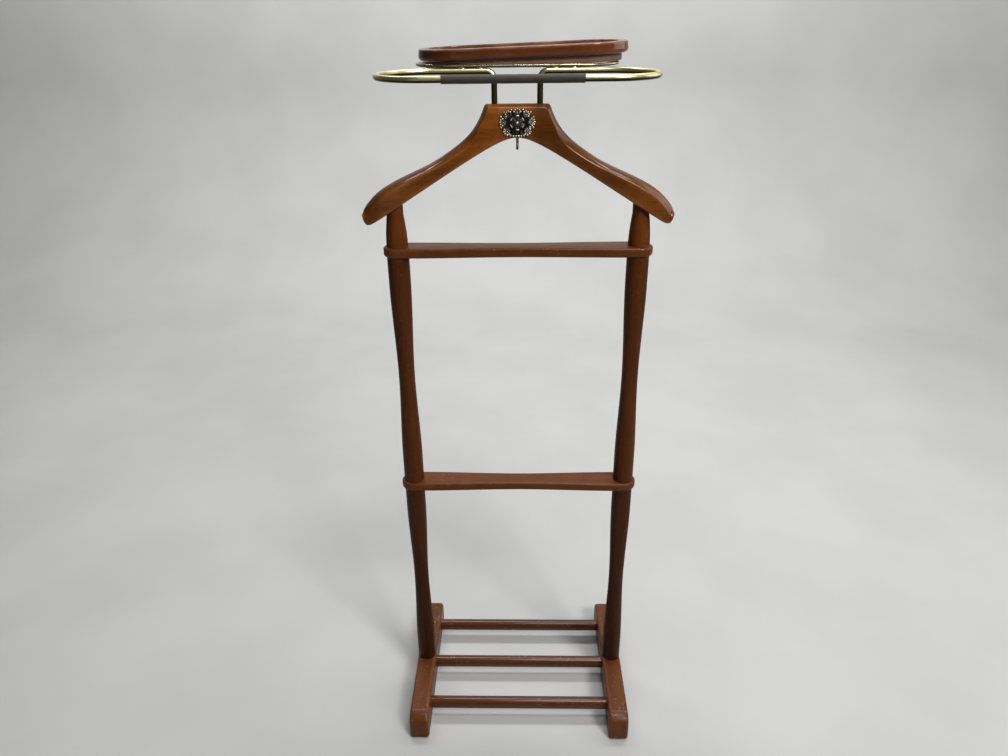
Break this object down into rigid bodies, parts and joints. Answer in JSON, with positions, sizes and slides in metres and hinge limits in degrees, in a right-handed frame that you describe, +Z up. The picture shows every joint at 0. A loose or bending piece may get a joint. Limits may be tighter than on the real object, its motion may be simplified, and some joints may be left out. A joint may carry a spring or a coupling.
{
  "type": "clothes valet stand",
  "caption": "Wooden clothes valet stand: turned posts on feet joined by dowels, a shaped suit hanger, a bent brass trouser bar and a loose tray lying in a wire ring.",
  "frame": {"origin": "on the floor, midway between the two posts and midway between the front and rear ends of the feet", "axes": "+X to the right from post to post, +Y to the rear, +Z up along the posts"},
  "size_m": [0.4392, 0.3, 1.1204],
  "materials": {
    "hanger_wood": "semi-gloss varnish over mahogany stain",
    "post_wood": "semi-gloss varnish over dark mahogany stain",
    "rail_wood": "semi-gloss varnish over mahogany stain",
    "foot_wood": "worn semi-gloss varnish over mahogany stain",
    "dowel_wood": "satin varnish over mahogany stain",
    "tray_wood": "semi-gloss varnish over mahogany stain",
    "tray_floor_wood": "thin matt stain",
    "bar_brass": "polished, tarnished with age",
    "ring_brass": "tarnished",
    "hook_brass": "tarnished",
    "rosette_cast": "cast, antiqued dark with bright high spots",
    "screw_steel": "plain zinc",
    "sleeve_rubber": "soft matt grey-brown"
  },
  "bodies": {
    "stand": {"foot_left": "foot_wood", "foot_right": "foot_wood", "front_dowel": "dowel_wood", "middle_dowel": "dowel_wood", "rear_dowel": "dowel_wood", "lower_post_left": "post_wood", "lower_post_right": "post_wood", "lower_rail": "rail_wood", "middle_post_left": "post_wood", "middle_post_right": "post_wood", "upper_rail": "rail_wood", "upper_post_left": "post_wood", "upper_post_right": "post_wood", "hanger": "hanger_wood", "foot_screws": "screw_steel", "lower_joint_screws": "screw_steel", "upper_joint_screws": "screw_steel", "trouser_bar": "bar_brass", "bar_sleeve": "sleeve_rubber", "tray_ring": "ring_brass", "braze_fillets": "ring_brass", "rosette": "rosette_cast", "cup_hook": "hook_brass"},
    "tray": {"tray_rim": "tray_wood", "tray_floor": "tray_floor_wood"}
  },
  "joints": [
    {"name": "tray_lift", "type": "slide", "parent": "stand", "child": "tray", "axis": [0, 0, 1], "range_m": [0, 0.08]}
  ]
}
